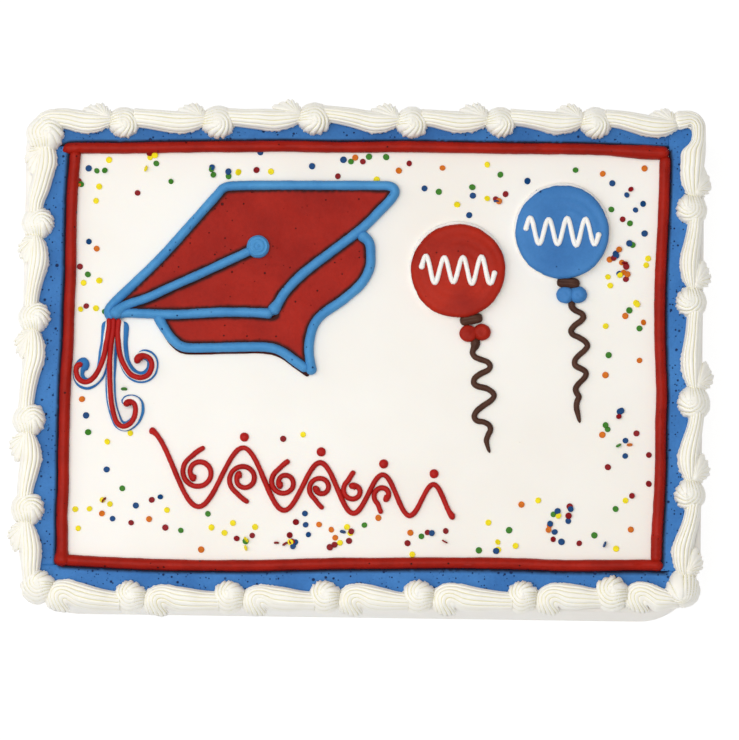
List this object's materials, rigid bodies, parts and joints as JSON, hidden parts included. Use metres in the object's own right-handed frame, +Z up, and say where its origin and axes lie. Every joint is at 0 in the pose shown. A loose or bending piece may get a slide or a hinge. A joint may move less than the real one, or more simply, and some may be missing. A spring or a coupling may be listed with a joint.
{
  "type": "sheet cake",
  "caption": "Half-sheet party cake in white icing with a blue band, red rope frame, piped shell border, graduation cap, balloons, scroll ornament and confetti",
  "frame": {"origin": "middle of the flat underside, under the middle of the whole outline", "axes": "+X to the right along the long side, +Y to the back, +Z up out of the decorated top"},
  "size_m": [0.4828, 0.3602, 0.0868],
  "materials": {
    "balloon_blue_icing": "smooth satin icing with swirl marks",
    "balloon_red_icing": "smooth satin icing with swirl marks",
    "blue_band_icing": "satin icing with tiny air holes",
    "brown_icing": "satin piped icing",
    "cream_icing": "satin buttercream piped through a star tip",
    "light_blue_icing": "satin piped icing",
    "red_field_icing": "smooth satin icing",
    "red_rope_icing": "satin piped icing",
    "scroll_red_icing": "glossy piped gel icing",
    "white_icing": "smooth satin buttercream"
  },
  "bodies": {
    "root": {"balloon_blue": "balloon_blue_icing", "balloon_blue_base": "white_icing", "balloon_blue_bow_1": "balloon_blue_icing", "balloon_blue_bow_2": "balloon_blue_icing", "balloon_blue_knot": "brown_icing", "balloon_blue_string": "brown_icing", "balloon_blue_wave": "white_icing", "balloon_red": "balloon_red_icing", "balloon_red_base": "white_icing", "balloon_red_bow_1": "balloon_red_icing", "balloon_red_bow_2": "balloon_red_icing", "balloon_red_knot": "brown_icing", "balloon_red_string": "brown_icing", "balloon_red_wave": "white_icing", "band_back": "blue_band_icing", "band_front": "blue_band_icing", "band_left": "blue_band_icing", "band_right": "blue_band_icing", "cake": "white_icing", "cap_board": "red_field_icing", "cap_button": "light_blue_icing", "cap_cord": "light_blue_icing", "cap_crown": "red_field_icing", "cap_crown_lower_line": "light_blue_icing", "cap_crown_side_line": "light_blue_icing", "cap_lower_line": "light_blue_icing", "cap_rim_line": "light_blue_icing", "rope_back": "red_rope_icing", "rope_front": "red_rope_icing", "rope_left": "red_rope_icing", "rope_right": "red_rope_icing", "scroll_curl_1": "scroll_red_icing", "scroll_curl_2": "scroll_red_icing", "scroll_curl_3": "scroll_red_icing", "scroll_curl_4": "scroll_red_icing", "scroll_curl_5": "scroll_red_icing", "scroll_curl_6": "scroll_red_icing", "scroll_dot_2": "scroll_red_icing", "scroll_dot_4": "scroll_red_icing", "scroll_dot_6": "scroll_red_icing", "scroll_dot_8": "scroll_red_icing", "scroll_stem": "scroll_red_icing", "shells_back": "cream_icing", "shells_front": "cream_icing", "shells_left": "cream_icing", "shells_right": "cream_icing", "tassel_left_blue": "light_blue_icing", "tassel_left_red": "red_rope_icing", "tassel_left_white": "white_icing", "tassel_middle_blue": "light_blue_icing", "tassel_middle_red": "red_rope_icing", "tassel_middle_white": "white_icing", "tassel_right_blue": "light_blue_icing", "tassel_right_red": "red_rope_icing", "tassel_right_white": "white_icing"}
  },
  "joints": []
}
